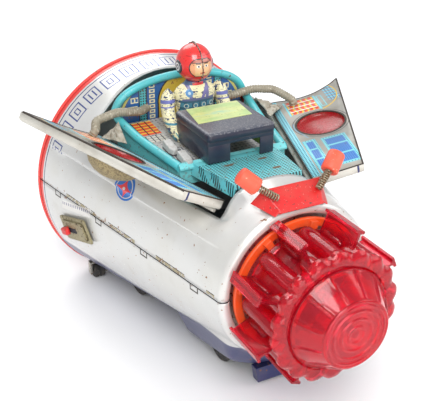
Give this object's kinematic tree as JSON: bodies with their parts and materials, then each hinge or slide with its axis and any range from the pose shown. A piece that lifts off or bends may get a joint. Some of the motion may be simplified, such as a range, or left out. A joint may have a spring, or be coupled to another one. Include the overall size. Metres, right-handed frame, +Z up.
{
  "type": "tin space capsule toy",
  "caption": "Cone-bodied tin space toy with gull-wing doors that fold shut as its seated astronaut sinks, a finned spinning nose and wheels underneath.",
  "frame": {"origin": "on the ground under the middle of the toy's overall box, doors open", "axes": "-Y towards the spinning nose, +Z up, +X towards the astronaut's left; the toy's symmetry plane is at x = -2.26 mm because its two doors rest at unequal angles"},
  "size_m": [0.1969, 0.226, 0.1612],
  "materials": {
    "white_tin": "printed tinplate, chipped and lightly rusted",
    "navy_tin": "dark blue printed tinplate",
    "red_tin": "red printed tinplate",
    "cyan_tin": "cyan printed tinplate",
    "bare_tin": "bare tinplate",
    "aged_tin": "tarnished tinplate",
    "red_plastic": "translucent red moulding",
    "orange_plastic": "orange moulding",
    "coral_plastic": "coral red cap",
    "cream_suit": "cream printed figure",
    "screen_green": "pale green printed panel",
    "cloth": "creased coated cloth",
    "spring_steel": "coiled wire",
    "black_rubber": "black rubber",
    "grey_steel": "plain steel",
    "lamp_glass": "clear bulb"
  },
  "bodies": {
    "body": {"upper_shell": "white_tin", "lower_shell": "white_tin", "rear_cover": "navy_tin", "rear_rim": "red_tin", "front_bulkhead": "bare_tin", "switch_plate": "aged_tin", "lamp_socket": "aged_tin", "lamp_bulb": "lamp_glass", "lift_guide": "bare_tin", "antenna_bracket": "red_tin", "battery_box": "bare_tin", "d_cell_1": "grey_steel", "d_cell_2": "grey_steel", "motor": "grey_steel", "front_skid": "navy_tin", "roller_bracket_right": "bare_tin", "roller_bracket_left": "bare_tin"},
    "rotor": {"rotor_drum": "red_plastic", "rotor_ring": "orange_plastic", "rotor_shaft": "grey_steel"},
    "left_door": {"left_door_skin": "white_tin", "left_door_liner": "white_tin", "left_door_lens": "red_plastic", "left_hinge_pin": "bare_tin"},
    "right_door": {"right_door_skin": "white_tin", "right_door_liner": "white_tin", "right_door_lens": "red_plastic", "right_hinge_pin": "bare_tin"},
    "cockpit": {"cockpit_tray": "cyan_tin", "cockpit_apron": "cyan_tin", "seat_back": "cyan_tin", "console_top": "navy_tin", "console_legs": "navy_tin", "console_screen": "screen_green", "astronaut_torso": "cream_suit", "astronaut_helmet": "red_tin", "astronaut_right_arm": "cream_suit", "astronaut_left_arm": "cream_suit", "lift_column": "grey_steel", "right_hose": "spring_steel", "left_hose": "spring_steel", "right_gusset": "cloth", "left_gusset": "cloth"},
    "right_antenna": {"right_antenna_spring": "spring_steel", "right_antenna_cap": "coral_plastic"},
    "left_antenna": {"left_antenna_spring": "spring_steel", "left_antenna_cap": "coral_plastic"},
    "switch": {"switch_lever": "red_tin"},
    "bogie": {"bogie_frame": "bare_tin"},
    "front_wheels": {"front_axle": "grey_steel", "front_wheel_right": "black_rubber", "front_wheel_left": "black_rubber"},
    "rear_wheels": {"rear_axle": "grey_steel", "rear_wheel_right": "black_rubber", "rear_wheel_left": "black_rubber", "axle_gear": "aged_tin"},
    "pinion": {"motor_pinion": "aged_tin"},
    "right_roller": {"roller_right": "black_rubber"},
    "left_roller": {"roller_left": "black_rubber"},
    "battery_hatch": {"battery_door": "navy_tin"}
  },
  "joints": [
    {"name": "rotor_spin", "type": "hinge", "parent": "body", "child": "rotor", "pos_m": [-0.00226, -0.09, 0.0702], "axis": [0, -1, 0], "continuous": true},
    {"name": "left_door_hinge", "type": "hinge", "parent": "body", "child": "left_door", "pos_m": [0.05944, 0.07799, 0.10793], "axis": [-0.2904, -0.9554, -0.0543], "range_deg": [0, 163], "deforming": ["left_hose", "left_gusset"]},
    {"name": "right_door_hinge", "type": "hinge", "parent": "body", "child": "right_door", "pos_m": [-0.06431, 0.07787, 0.10807], "axis": [-0.2904, 0.9554, 0.0543], "range_deg": [0, 146.8], "deforming": ["right_hose", "right_gusset"]},
    {"name": "cockpit_lift", "type": "slide", "parent": "body", "child": "cockpit", "axis": [0, 0, 1], "range_m": [-0.038, 0], "deforming": ["left_hose", "right_hose", "left_gusset", "right_gusset"]},
    {"name": "right_antenna_sway", "type": "hinge", "parent": "body", "child": "right_antenna", "pos_m": [-0.01246, -0.0606, 0.11515], "axis": [1, 0, 0], "range_deg": [-12, 12], "stiffness_Nm_per_rad": 0.01},
    {"name": "left_antenna_sway", "type": "hinge", "parent": "body", "child": "left_antenna", "pos_m": [0.00794, -0.0606, 0.11515], "axis": [1, 0, 0], "range_deg": [-12, 12], "stiffness_Nm_per_rad": 0.01},
    {"name": "switch_slide", "type": "slide", "parent": "body", "child": "switch", "axis": [0.1361, -0.9484, 0.2863], "range_m": [-0.004, 0.008]},
    {"name": "bogie_swivel", "type": "hinge", "parent": "body", "child": "bogie", "pos_m": [-0.00226, -0.017, 0.03], "axis": [0, 0, 1], "continuous": true},
    {"name": "front_axle_spin", "type": "hinge", "parent": "bogie", "child": "front_wheels", "pos_m": [-0.00226, -0.017, 0.013], "axis": [1, 0, 0], "continuous": true},
    {"name": "rear_axle_spin", "type": "hinge", "parent": "body", "child": "rear_wheels", "pos_m": [-0.00226, 0.066, 0.015], "axis": [1, 0, 0], "continuous": true},
    {"name": "pinion_spin", "type": "hinge", "parent": "body", "child": "pinion", "pos_m": [-0.00226, 0.07516, 0.02592], "axis": [1, 0, 0], "continuous": true},
    {"name": "right_roller_spin", "type": "hinge", "parent": "body", "child": "right_roller", "pos_m": [-0.04826, 0.096, 0.0046], "axis": [1, 0, 0], "continuous": true},
    {"name": "left_roller_spin", "type": "hinge", "parent": "body", "child": "left_roller", "pos_m": [0.04374, 0.096, 0.0046], "axis": [1, 0, 0], "continuous": true},
    {"name": "battery_door_hinge", "type": "hinge", "parent": "body", "child": "battery_hatch", "pos_m": [-0.00226, 0.04175, 0.0072], "axis": [1, 0, 0], "range_deg": [0, 75]}
  ],
  "couplings": [
    {"joint": "right_door_hinge", "follows": "left_door_hinge", "ratio": 0.90061},
    {"joint": "cockpit_lift", "follows": "left_door_hinge", "m_per_rad": -0.013356},
    {"joint": "pinion_spin", "follows": "rear_axle_spin", "ratio": -2.5}
  ]
}
